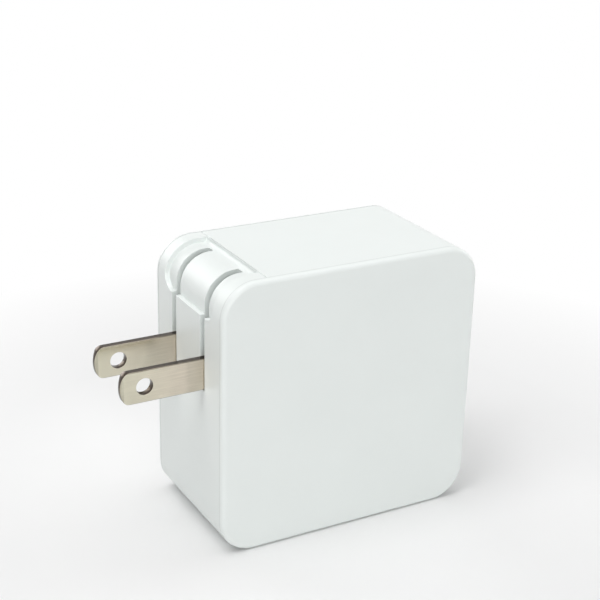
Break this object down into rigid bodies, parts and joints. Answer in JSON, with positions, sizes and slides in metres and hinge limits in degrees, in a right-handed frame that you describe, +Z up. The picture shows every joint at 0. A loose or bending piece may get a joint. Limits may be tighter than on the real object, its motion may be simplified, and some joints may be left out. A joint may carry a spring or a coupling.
{
  "type": "plug-in laptop charger with folding prongs",
  "caption": "White plug-in laptop charger with folding flat mains prongs at one end and USB sockets at the other.",
  "frame": {"origin": "middle of the casing's base, the narrow side it stands on", "axes": "+X from the plug end to the port end, so the prongs point to -X; +Y from the front face to the back face; +Z up"},
  "size_m": [0.0715, 0.03, 0.055],
  "materials": {
    "white_shell": "moulded white polycarbonate with a soft gloss",
    "port_panel": "moulded white polycarbonate, slightly duller",
    "prong_plating": "nickel plated brass, brushed along its length",
    "rotor_moulding": "black glass filled nylon",
    "screw_steel": "zinc plated steel",
    "spring_bronze": "phosphor bronze strip",
    "circuit_board": "green solder mask on glass epoxy",
    "socket_steel": "nickel plated drawn steel",
    "socket_insulator": "black insulator",
    "contact_gold": "gilt contact",
    "ferrite": "dark grey ferrite",
    "bobbin_moulding": "black phenolic",
    "coil_tape": "yellow polyester tape over enamelled wire",
    "capacitor_can": "aluminium can in a dark sleeve",
    "film_capacitor_case": "yellow moulded case",
    "disc_coating": "blue epoxy coat",
    "fuse_body": "moulded box of a small fuse",
    "chip_package": "black moulding compound",
    "insulating_film": "amber polyimide film",
    "spreader_metal": "bare aluminium sheet"
  },
  "bodies": {
    "casing": {"front_cover": "white_shell", "back_cover": "white_shell", "mid_frame": "white_shell", "plug_end_cap": "white_shell", "port_plate": "port_panel", "rotor_keeper": "rotor_moulding", "keeper_screws": "screw_steel", "detent_spring": "spring_bronze", "live_contact": "spring_bronze", "neutral_contact": "spring_bronze", "main_board": "circuit_board", "port_board": "circuit_board", "usb_a_shell": "socket_steel", "usb_c_shell_upper": "socket_steel", "usb_c_shell_lower": "socket_steel", "usb_a_tongue": "socket_insulator", "usb_c_tongue_upper": "socket_insulator", "usb_c_tongue_lower": "socket_insulator", "usb_a_contacts": "contact_gold", "transformer_core": "ferrite", "choke_core": "ferrite", "transformer_bobbin": "bobbin_moulding", "transformer_winding": "coil_tape", "choke_windings": "coil_tape", "bulk_capacitors": "capacitor_can", "output_capacitors": "capacitor_can", "x_capacitor": "film_capacitor_case", "y_capacitor": "disc_coating", "fuse": "fuse_body", "bridge_rectifier": "chip_package", "power_switches": "chip_package", "control_chips": "chip_package", "insulating_sheet": "insulating_film", "heat_spreader": "spreader_metal"},
    "prongs": {"live_prong": "prong_plating", "neutral_prong": "prong_plating", "prong_rotor": "rotor_moulding"}
  },
  "joints": [
    {"name": "prong_fold", "type": "hinge", "parent": "casing", "child": "prongs", "pos_m": [-0.0245, 0, 0.03375], "axis": [0, 1, 0], "range_deg": [0, 90], "deforming": ["detent_spring"]}
  ]
}
